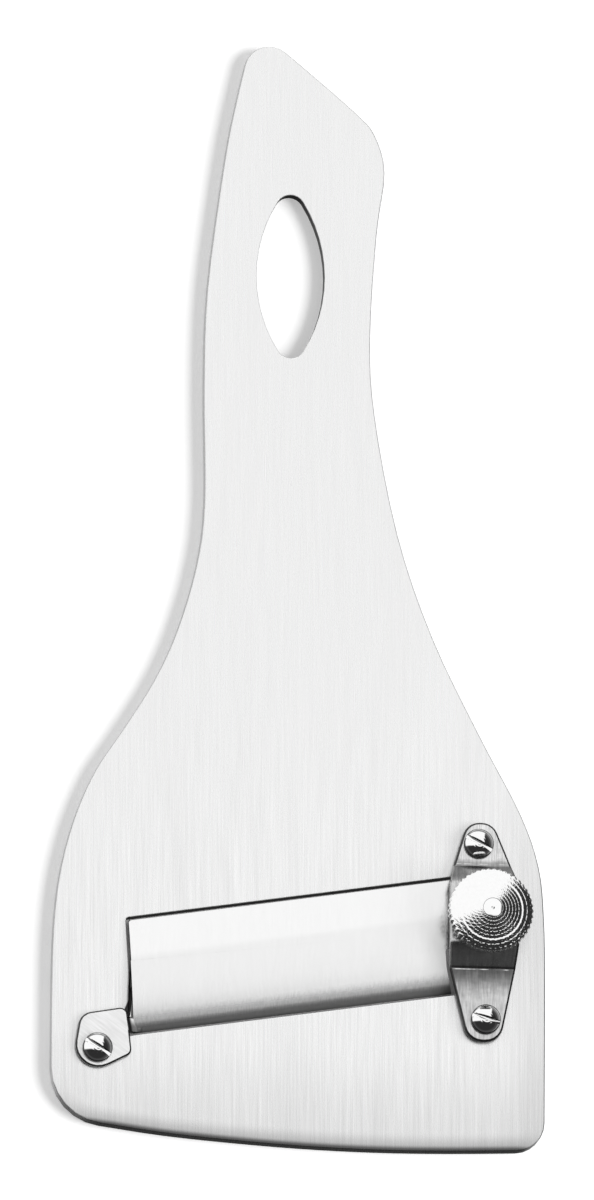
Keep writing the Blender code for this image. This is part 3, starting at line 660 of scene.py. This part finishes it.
def build_bridge(*materials):
    """The bent bridge. Steels: pressed faces, and cut edges dark as painted shade."""
    mesh = refined_copy("bridge", BRIDGE_EDGE, BRIDGE_EDGE_STEPS, materials, BRIDGE_SHEARED_AND_SHADE)
    for face in mesh.polygons:
        between_screws = LOWER_SCREW_Y < face.center.y < UPPER_SCREW_Y
        raised = LOWER_FOLD_Y < face.center.y < UPPER_FOLD_Y
        if raised and face.normal.x < -WALL_SLOPE / 2:
            face.material_index = BRIDGE_PRESSED
        elif abs(face.normal.z) < WALL_SLOPE:
            face.material_index = BRIDGE_SHEARED_AND_SHADE
        elif between_screws and abs(face.normal.x) < WALL_SLOPE / 2:
            face.material_index = BRIDGE_PRESSED
    place_piece("bent_bridge", mesh, "bridge", "pressed_bridge")


def add_steps(points, count, reach):
    """Adds turned steps, outwards and down, to a profile of (radius, height) points."""
    radius, height = points[-1]
    pitch = (reach - radius) / count
    for _ in range(count):
        for step in range(1, RING_SAMPLES + 1):
            share = step / RING_SAMPLES
            starting = clamp((share - STEP_TREAD / 2) / STEP_SOFTNESS)
            steep = starting * clamp((STEP_END - share) / STEP_SOFTNESS)
            height -= pitch / RING_SAMPLES * math.tan(CONE_SLOPE) * steep
            points.append((radius + pitch * share, height))
        radius += pitch


def knob_profile(bottom):
    """The knob's top from the rim in, as (radius, height) points: brow, ledge, stepped cone."""
    points = [(BORE_RADIUS, bottom + KNOB_HEIGHT)]
    add_steps(points, CONE_RINGS, CONE_RADIUS)
    radius, height = points[-1]
    points.append((radius + LEDGE_START, height))
    points.append((radius + LEDGE_WIDTH, height))
    add_steps(points, BROW_RINGS, KNOB_RADIUS - KNURL_DEPTH - KNOB_CHAMFER / 2)
    return points[::-1]


def wobble(angle, radius):
    """How far uneven turning lifts the knob's top at a place, most on the side towards the foot."""
    strength = WOBBLE_LEAST + (1 - WOBBLE_LEAST) * max(0.0, -math.sin(angle))
    waves = (math.sin(turns * angle + drift * radius / MM) for turns, drift in WOBBLE_WAVES)
    return WOBBLE * strength * sum(waves)


def build_knob(material):
    """The knob: straight knurling under a turned brow, a ledge and a cone of turned steps."""
    centre, bottom, _ = middle("adjusting_knob")
    count = KNURL_TEETH * TOOTH_POINTS
    profile = knob_profile(bottom)
    core, rim = profile[0]

    def knurled(radius, height, depth):
        def radius_at(angle):
            return radius - depth * (1 - abs(math.cos(KNURL_TEETH * angle / 2)) ** KNURL_POWER)

        return ring_of(radius_at, lambda angle: height, centre, count)

    rings = [plain_ring(radius, bottom, centre, count) for radius in (BORE_RADIUS, core)]
    for share, higher, inward, depth in KNURL_RINGS:
        height = bottom + (rim - bottom) * share + KNOB_CHAMFER * higher
        rings.append(knurled(KNOB_RADIUS - KNOB_CHAMFER * inward, height, KNURL_DEPTH * depth))
    for radius, height in profile:
        rings.append(ring_of(
            lambda angle: radius, lambda angle: height + wobble(angle, radius), centre, count))
    mesh = mesh_of(loft(rings), "knob")
    shade_smoothly(mesh, KNOB_SHARP_ANGLE)
    place_piece("knurled_knob", mesh, "adjusting_knob", "polished_steel", material)


def build_spindle(material):
    """The spindle: grooved pin, helical thread, dimpled end."""
    centre, bottom, top = middle("adjusting_spindle")
    clip_low, clip_high = middle("retaining_clip")[1:]
    shoulder = middle("thrust_washer")[2] + SHOULDER_GAP
    collar = middle("adjusting_knob")[1] - COLLAR_GAP
    rings = [plain_ring(radius, height, centre) for radius, height in (
        (PIN_END_CENTRE * PIN_RADIUS, bottom),
        (PIN_RADIUS - SPINDLE_CHAMFER, bottom),
        (PIN_RADIUS, bottom + SPINDLE_CHAMFER),
        (PIN_RADIUS, clip_low - GROOVE_GAP),
        (GROOVE_RADIUS, clip_low - GROOVE_GAP),
        (GROOVE_RADIUS, clip_high + GROOVE_GAP),
        (PIN_RADIUS, clip_high + GROOVE_GAP),
        (PIN_RADIUS, shoulder),
        (THREAD_RADIUS - THREAD_DEPTH, shoulder),
    )]
    steps = math.ceil((collar - shoulder) / THREAD_PITCH * THREAD_STEPS)
    for step in range(1, steps):
        height = shoulder + (collar - shoulder) * step / steps
        fade = min(1.0, step / THREAD_STEPS, (steps - step) / THREAD_STEPS)

        def thread_radius(angle):
            phase = ((height - shoulder) / THREAD_PITCH - angle / math.tau) % 1
            return THREAD_RADIUS - THREAD_DEPTH * (1 - fade + fade * abs(2 * phase - 1))

        rings.append(ring_of(thread_radius, lambda angle: height, centre, ROUND_SEGMENTS))
    bend = SPINDLE_CHAMFER * SPINDLE_CHAMFER_BEND
    rings += [plain_ring(radius, height, centre) for radius, height in (
        (THREAD_RADIUS - THREAD_DEPTH, collar),
        (SPINDLE_END_RADIUS, collar),
        (SPINDLE_END_RADIUS, top - SPINDLE_CHAMFER),
        (SPINDLE_END_RADIUS - bend, top - bend),
        (SPINDLE_END_RADIUS - SPINDLE_CHAMFER, top),
        (DIMPLE_RADIUS, top),
        (DIMPLE_RADIUS * DIMPLE_POINT, top - DIMPLE_RADIUS),
    )]
    mesh = mesh_of(loft(rings, close_ends=True), "spindle")
    shade_smoothly(mesh, SPINDLE_SHARP_ANGLE)
    place_piece("threaded_spindle", mesh, "adjusting_spindle", "polished_steel", material)


def slot_cutter(centre, depth_z, turn, name):
    """A bar that cuts a screw's slot down to a height."""
    reach = HEAD_RADIUS + CUTTER_MARGIN
    half = SCREW_SLOT_WIDTH / 2
    along = Vector((math.cos(turn), math.sin(turn), 0))
    across = Vector((-math.sin(turn), math.cos(turn), 0))
    foot = Vector((centre.x, centre.y, depth_z))
    signs = ((-1, -1), (1, -1), (1, 1), (-1, 1))
    corners = [foot + along * reach * x + across * half * y for x, y in signs]
    lifted = [corner + Vector((0, 0, CUTTER_HEIGHT)) for corner in corners]
    return temporary_object(loft([corners, lifted], close_ends=True), name)


def build_screw(name, node, turn, *materials):
    """A slotted screw with a domed, lightly turned head.

    Its steels are for the whole screw, and for the slot's walls and the head's side and rim, dark
    as painted shade.
    """
    centre, bottom, top = middle(node)
    seat = top - HEAD_HEIGHT
    dome = HEAD_HEIGHT - HEAD_RIM
    sphere = (HEAD_RADIUS ** 2 + dome ** 2) / (2 * dome)
    spread = math.asin(HEAD_RADIUS / sphere)
    rings = [plain_ring(radius, height, centre) for radius, height in (
        (SHANK_END_CENTRE * SHANK_RADIUS, bottom),
        (SHANK_RADIUS - SPINDLE_CHAMFER, bottom),
        (SHANK_RADIUS, bottom + SPINDLE_CHAMFER),
        (SHANK_RADIUS, seat),
        (HEAD_RADIUS - HEAD_CHAMFER, seat),
        (HEAD_RADIUS, seat + HEAD_CHAMFER),
    )]
    for step in range(DOME_STEPS):
        angle = spread * (1 - step / DOME_STEPS)
        radius = sphere * math.sin(angle)
        near = clamp((RIPPLE_REACH - radius) / RIPPLE_PITCH)
        ripple = RIPPLE_HEIGHT * (math.cos(math.tau * radius / RIPPLE_PITCH) - 1) * near
        rings.append(plain_ring(radius, top - sphere * (1 - math.cos(angle)) + ripple, centre))
    head = temporary_object(loft(rings, close_ends=True), name + "_head")
    cutter = slot_cutter(centre, top - SCREW_SLOT_DEPTH, turn, name + "_slot")
    cut = head.modifiers.new("slot", "BOOLEAN")
    cut.operation = "DIFFERENCE"
    cut.solver = "EXACT"
    cut.object = cutter
    add_bevel(head, SMALL_EDGE)
    mesh = apply_modifiers(head)
    bpy.data.objects.remove(cutter)
    shade_smoothly(mesh)
    # The slot's walls and the head's rim and side take the dark steel, as painted shade
    for face in mesh.polygons:
        at_rim = (face.center.xy - centre.xy).length > HEAD_RADIUS - RIM_WIDTH
        if (at_rim or abs(face.normal.z) < WALL_SLOPE) and face.center.z > seat:
            face.material_index = 1
    place_piece(name, mesh, node, "polished_steel", *materials)


def add_node(tree, kind, settings=None, **inputs):
    """A shader node with its settings and constant inputs."""
    node = tree.nodes.new(kind)
    for key, value in (settings or {}).items():
        setattr(node, key, value)
    for key, value in inputs.items():
        node.inputs[key].default_value = value
    return node


def feed(tree, value, socket):
    """Puts a number or another node's value into a socket."""
    if isinstance(value, (int, float)):
        socket.default_value = value
    else:
        tree.links.new(value, socket)


def compute(tree, operation, *values):
    """The result of a Math node."""
    node = add_node(tree, "ShaderNodeMath", {"operation": operation})
    for value, socket in zip(values, node.inputs):
        feed(tree, value, socket)
    return node.outputs["Value"]


def multiply(tree, *values):
    """The product of several values."""
    total = values[0]
    for value in values[1:]:
        total = compute(tree, "MULTIPLY", total, value)
    return total


def blend(tree, first, second, share):
    """From first at 0 to second at 1."""
    mix = add_node(tree, "ShaderNodeMix", {"data_type": "FLOAT"})
    for name, value in (("A", first), ("B", second), ("Factor", share)):
        feed(tree, value, mix.inputs[name])
    return mix.outputs["Result"]


def smooth_band(tree, value, band):
    """0 before the band and 1 past it, smoothly between. It may run downwards."""
    step = add_node(tree, "ShaderNodeMapRange", {"interpolation_type": "SMOOTHSTEP"})
    step.inputs["From Min"].default_value = min(band)
    step.inputs["From Max"].default_value = max(band)
    if band[0] > band[1]:
        step.inputs["To Min"].default_value = 1.0
        step.inputs["To Max"].default_value = 0.0
    tree.links.new(value, step.inputs["Value"])
    return step.outputs["Result"]


def position(tree, direction, origin=Vector()):
    """How far a surface point lies along a direction from an origin, in the part's own frame."""
    place = add_node(tree, "ShaderNodeTexCoord")
    offset = add_node(tree, "ShaderNodeVectorMath", {"operation": "SUBTRACT"})
    tree.links.new(place.outputs["Object"], offset.inputs[0])
    offset.inputs[1].default_value = origin.to_3d()
    along = add_node(tree, "ShaderNodeVectorMath", {"operation": "DOT_PRODUCT"})
    tree.links.new(offset.outputs["Vector"], along.inputs[0])
    along.inputs[1].default_value = direction.to_3d()
    return along.outputs["Value"]


def grain(tree, angle, across, along):
    """Noise drawn out along a direction, about 0 to 1. Across and along are waves to a metre."""
    place = add_node(tree, "ShaderNodeTexCoord")
    mapping = add_node(
        tree, "ShaderNodeMapping", {"vector_type": "TEXTURE"},
        Rotation=(0, 0, angle), Scale=(1 / across, 1 / along, 1 / along))
    tree.links.new(place.outputs["Object"], mapping.inputs["Vector"])
    noise = add_node(
        tree, "ShaderNodeTexNoise", Scale=1.0, Detail=NOISE_DETAIL, Roughness=NOISE_ROUGHNESS)
    tree.links.new(mapping.outputs["Vector"], noise.inputs["Vector"])
    return noise.outputs["Fac"]


def weighted_sum(tree, start, parts):
    """start plus each part's weight times how far its value is from a half."""
    (value, weight), *others = parts
    total = compute(tree, "MULTIPLY_ADD", value, weight, start - weight / 2)
    for value, weight in others:
        step = compute(tree, "MULTIPLY_ADD", value, weight, -weight / 2)
        total = compute(tree, "ADD", total, step)
    return total


def steel(name, shade, roughness, depth, shade_grain, rough_grain, bump_grain, gloss=1.0,
          angle=UPRIGHT, painted_shade=None):
    """Steel whose shade, roughness and surface vary with its grain, with painted shade on top."""
    material = bpy.data.materials.new(name)
    material.use_nodes = True
    tree = material.node_tree
    shader = tree.nodes["Principled BSDF"]
    shader.inputs["Metallic"].default_value = gloss

    def grained(start, parts):
        noises = [(grain(tree, angle, across, along), weight) for across, along, weight in parts]
        return weighted_sum(tree, start, noises)

    tree.links.new(grained(shade, shade_grain), shader.inputs["Base Color"])
    tree.links.new(grained(roughness, rough_grain), shader.inputs["Roughness"])
    bump = add_node(tree, "ShaderNodeBump", Strength=1.0, Distance=depth)
    tree.links.new(grained(0.5, bump_grain), bump.inputs["Height"])
    tree.links.new(bump.outputs["Normal"], shader.inputs["Normal"])
    if painted_shade:
        painted_shade(tree, shader)
    return material


def paint_plate_grain_and_shade(tree, shader):
    """Coarser grain towards the plate's foot, and painted shade along its foot and right rail."""
    level = shader.inputs["Base Color"].links[0].from_socket
    x = position(tree, Vector((1, 0, 0)))
    y = position(tree, Vector((0, 1, 0)))
    gain = blend(tree, 1.0, FOOT_GRAIN, smooth_band(tree, y, FOOT_GRAIN_BAND))
    grained = multiply(tree, compute(tree, "SUBTRACT", level, PLATE_SHADE), gain)
    # Painted shade towards the foot, along the right rail, on the rolled-off edge and the foot wall
    low = blend(tree, 1.0, FOOT_SHADE, smooth_band(tree, y, FOOT_SHADE_BAND))
    beside = multiply(
        tree, smooth_band(tree, x, RAIL_ACROSS_BAND), smooth_band(tree, y, RAIL_DOWN_BAND))
    rail = blend(tree, 1.0, RAIL_SHADE, beside)
    attribute = add_node(tree, "ShaderNodeAttribute", {"attribute_name": "foot"})
    foot_shade = attribute.outputs["Fac"]
    rolled = blend(tree, 1.0, ROLL_SHADE, smooth_band(tree, foot_shade, ROLL_BAND))
    wall = blend(tree, 1.0, WALL_SHADE, smooth_band(tree, foot_shade, WALL_BAND))
    level = multiply(tree, compute(tree, "ADD", grained, PLATE_SHADE), low, rail, rolled, wall)
    tree.links.new(level, shader.inputs["Base Color"])


def paint_bridge_light_and_shade(tree, shader):
    """Painted shade by the folds, painted highlights on them, and the upper tab painted lighter."""
    level = shader.inputs["Base Color"].links[0].from_socket
    patches = weighted_sum(tree, 0.0, [(grain(tree, UPRIGHT, *PATCH_WAVES), PATCH_REACH)])
    for fold, outward, tab_shade, tab_reach, slope_shade in FOLDS:
        reach = position(tree, Vector((0, outward, 0)), Vector((0, fold, 0)))
        ragged = compute(tree, "ADD", reach, patches)
        # Painted shade on the tab beside the fold and on the slope
        near = multiply(
            tree, smooth_band(tree, reach, TAB_BAND),
            smooth_band(tree, ragged, (tab_reach, TAB_DARK_START)))
        sloping = multiply(
            tree, smooth_band(tree, reach, SLOPE_UP_BAND),
            smooth_band(tree, reach, SLOPE_DOWN_BAND))
        level = multiply(
            tree, level, blend(tree, 1.0, tab_shade, near), blend(tree, 1.0, slope_shade, sloping))
        # A thin broken painted highlight along the fold
        aside = compute(tree, "ABSOLUTE", compute(tree, "SUBTRACT", reach, FOLD_HIGHLIGHT_PLACE))
        broken = smooth_band(tree, grain(tree, UPRIGHT, *FOLD_HIGHLIGHT_WAVES), FOLD_HIGHLIGHT_BREAKS)
        line = multiply(tree, smooth_band(tree, aside, FOLD_HIGHLIGHT_BAND), broken)
        level = blend(tree, level, FOLD_HIGHLIGHT_SHADE, line)
    # The upper tab painted lighter
    upper = smooth_band(tree, position(tree, Vector((0, 1, 0))), UPPER_TAB_BAND)
    level = multiply(tree, level, blend(tree, 1.0, UPPER_TAB_LIGHT, upper))
    tree.links.new(level, shader.inputs["Base Color"])


def paint_blade_shade(tree, shader):
    """Painted shade to the lip and below the crown, painted shadow by the bridge; lip rougher."""
    level = shader.inputs["Base Color"].links[0].from_socket
    gloss = shader.inputs["Roughness"].links[0].from_socket
    run = position(tree, SLOT_ALONG, SLOT_START)
    rise = position(tree, SLOT_ACROSS, SLOT_START)
    noise = weighted_sum(tree, 0.0, [(grain(tree, UPRIGHT, *LIP_WAVES), LIP_RAGGED)])
    low = smooth_band(tree, compute(tree, "ADD", rise, noise), LIP_BAND)
    below_crown = smooth_band(tree, rise, MIDDLE_BAND)
    end = multiply(
        tree, smooth_band(tree, run, END_RUN_BAND), smooth_band(tree, rise, END_RISE_BAND))
    # Painted shade towards the lip and below the crown, and the knob's painted shadow at the end
    level = multiply(
        tree, level, blend(tree, 1.0, LIP_SHADE, low), blend(tree, 1.0, MIDDLE_SHADE, below_crown),
        blend(tree, 1.0, END_SHADOW, end))
    tree.links.new(level, shader.inputs["Base Color"])
    gloss = blend(tree, gloss, LIP_ROUGHNESS, smooth_band(tree, rise, LIP_ROUGH_BAND))
    tree.links.new(gloss, shader.inputs["Roughness"])


def paint_neck_shade(tree, shader):
    """The blade's neck, with painted shade in the bend beside the ear and towards its lip."""
    level = shader.inputs["Base Color"].links[0].from_socket
    run = position(tree, SLOT_ALONG, SLOT_START)
    rise = position(tree, SLOT_ACROSS, SLOT_START)
    bend = blend(tree, BEND_SHADE, 1.0, smooth_band(tree, run, BEND_BAND))
    lip = blend(tree, 1.0, NECK_LIP_SHADE, smooth_band(tree, rise, NECK_LIP_BAND))
    tree.links.new(multiply(tree, level, bend, lip), shader.inputs["Base Color"])


def build_sky():
    """The studio's light by direction: bright overhead, behind and left, dark in front and right.

    It is white to the camera and even to rough surfaces.
    """
    world = bpy.data.worlds.new("studio")
    bpy.context.scene.world = world
    world.use_nodes = True
    tree = world.node_tree
    tree.nodes.clear()
    place = add_node(tree, "ShaderNodeTexCoord")
    split = add_node(tree, "ShaderNodeSeparateXYZ")
    tree.links.new(place.outputs["Generated"], split.inputs["Vector"])
    x, y, z = (split.outputs[axis] for axis in "XYZ")
    heading = add_node(tree, "ShaderNodeVectorMath", {"operation": "DOT_PRODUCT"})
    tree.links.new(place.outputs["Generated"], heading.inputs[0])
    heading.inputs[1].default_value = (FRONT_LEAN, 1, 0)
    behind = smooth_band(tree, heading.outputs["Value"], FRONT_BAND)
    left = smooth_band(tree, x, RIGHT_BAND)
    aside = smooth_band(tree, compute(tree, "ABSOLUTE", x), SIDES_TURN_BAND)
    sides = multiply(tree, smooth_band(tree, z, SIDES_HEIGHT_BAND), aside)
    dark = blend(tree, SKY_DARK, SKY_LOW, smooth_band(tree, z, LOW_BAND))
    dark = blend(tree, dark, SKY_SIDES, sides)
    bright = blend(tree, SKY_HORIZON, SKY_BRIGHT, smooth_band(tree, z, HORIZON_BAND))
    above = blend(tree, dark, bright, multiply(tree, behind, left))
    below = blend(tree, SKY_BELOW, SKY_FLOOR, smooth_band(tree, y, FLOOR_BAND))
    level = blend(tree, below, above, smooth_band(tree, z, BELOW_BAND))
    path = add_node(tree, "ShaderNodeLightPath")
    level = blend(tree, SKY_DIFFUSE, level, path.outputs["Is Glossy Ray"])
    level = blend(tree, level, 1.0, path.outputs["Is Camera Ray"])
    background = add_node(tree, "ShaderNodeBackground", Color=(1, 1, 1, 1))
    output = add_node(tree, "ShaderNodeOutputWorld")
    tree.links.new(level, background.inputs["Strength"])
    tree.links.new(background.outputs["Background"], output.inputs["Surface"])


def build_floor():
    """A white floor that keeps soft shadows and is clear from below.

    It shows to the camera and to rough surfaces, and metal mirrors the sky in its place.
    """
    shape = bmesh.new()
    half = FLOOR_SIZE / 2
    signs = ((-1, -1), (1, -1), (1, 1), (-1, 1))
    shape.faces.new([shape.verts.new((half * x, half * y, -FLOOR_DROP)) for x, y in signs])
    floor = temporary_object(shape, "floor")
    material = bpy.data.materials.new("white_floor")
    material.use_nodes = True
    tree = material.node_tree
    shader = tree.nodes["Principled BSDF"]
    shader.inputs["Base Color"].default_value = (FLOOR_SHADE, FLOOR_SHADE, FLOOR_SHADE, 1)
    shader.inputs["Roughness"].default_value = 1.0
    shader.inputs["Specular IOR Level"].default_value = 0.0
    shader.inputs["Emission Color"].default_value = (1, 1, 1, 1)
    run = position(tree, SLOT_ALONG, SLOT_START)
    rise = position(tree, SLOT_ACROSS, SLOT_START)
    under = multiply(
        tree, *(smooth_band(tree, run, band) for band in UNDER_RUN_BANDS),
        *(smooth_band(tree, rise, band) for band in UNDER_RISE_BANDS))
    path = add_node(tree, "ShaderNodeLightPath")
    lift = multiply(tree, path.outputs["Is Camera Ray"], blend(tree, FLOOR_LIFT, 0.0, under))
    tree.links.new(lift, shader.inputs["Emission Strength"])
    sides = add_node(tree, "ShaderNodeNewGeometry")
    clear = add_node(tree, "ShaderNodeBsdfTransparent")
    mix = add_node(tree, "ShaderNodeMixShader")
    tree.links.new(sides.outputs["Backfacing"], mix.inputs["Fac"])
    tree.links.new(shader.outputs["BSDF"], mix.inputs[1])
    tree.links.new(clear.outputs["BSDF"], mix.inputs[2])
    tree.links.new(mix.outputs["Shader"], tree.nodes["Material Output"].inputs["Surface"])
    floor.data.materials.append(material)
    floor.visible_glossy = False


def build_key():
    """A soft key light from the right, for the shadow on the plate's left."""
    light = bpy.data.lights.new("key", "SUN")
    light.energy = KEY_STRENGTH
    light.angle = KEY_SOFTNESS
    key = bpy.data.objects.new("key", light)
    bpy.context.scene.collection.objects.link(key)
    towards = Vector((
        math.cos(KEY_ELEVATION) * math.cos(KEY_TURN),
        math.cos(KEY_ELEVATION) * math.sin(KEY_TURN),
        math.sin(KEY_ELEVATION)))
    key.rotation_mode = "QUATERNION"
    key.rotation_quaternion = towards.to_track_quat("Z", "Y")
    key.visible_glossy = False


def build_camera():
    """A long lens nearly square above the plate."""
    lens = bpy.data.cameras.new("camera")
    lens.lens = LENS
    lens.sensor_width = SENSOR
    lens.clip_start = CLIP_START
    lens.clip_end = CLIP_END
    camera = bpy.data.objects.new("camera", lens)
    bpy.context.scene.collection.objects.link(camera)
    back = Vector((
        -math.sin(CAMERA_LEAN) * math.cos(CAMERA_TILT),
        -math.sin(CAMERA_TILT),
        math.cos(CAMERA_LEAN) * math.cos(CAMERA_TILT)))
    right = Vector((math.cos(CAMERA_LEAN), 0, math.sin(CAMERA_LEAN)))
    up = back.cross(right)
    camera.location = VIEW_CENTRE + back * (VIEW_HEIGHT * LENS / SENSOR)
    camera.rotation_mode = "QUATERNION"
    camera.rotation_quaternion = Matrix((right, up, back)).transposed().to_quaternion()
    bpy.context.scene.camera = camera


# Painted shade, with grain and roughness changes, laid on some steels
SHADE_PAINTERS = {
    "brushed_plate": paint_plate_grain_and_shade,
    "satin_blade": paint_blade_shade,
    "bent_neck": paint_neck_shade,
    "pressed_bridge": paint_bridge_light_and_shade,
}
steels = {name: steel(name, painted_shade=SHADE_PAINTERS.get(name), **recipe) for name, recipe in STEELS.items()}
polished = steels["polished_steel"]
sheared_and_shade = steels["sheared_edge_and_shade"]

build_plate(steels["brushed_plate"], sheared_and_shade, steels["buffed_highlight_edge"])
build_blade(steels["satin_blade"], steels["ground_ear"], sheared_and_shade, steels["bent_neck"])
build_bridge(steels["pressed_bridge"], sheared_and_shade)
for name, node in (("washer_disc", "thrust_washer"), ("spindle_clip", "retaining_clip")):
    place_piece(name, refined_copy(node, SMALL_EDGE), node, "polished_steel", polished)
build_knob(steels["turned_steel"])
build_spindle(polished)
for node, turn in SCREW_TURNS.items():
    build_screw("slotted_" + node, node, turn, polished, sheared_and_shade)
build_sky()
build_floor()
build_key()
build_camera()
bpy.context.scene.view_settings.view_transform = "Standard"
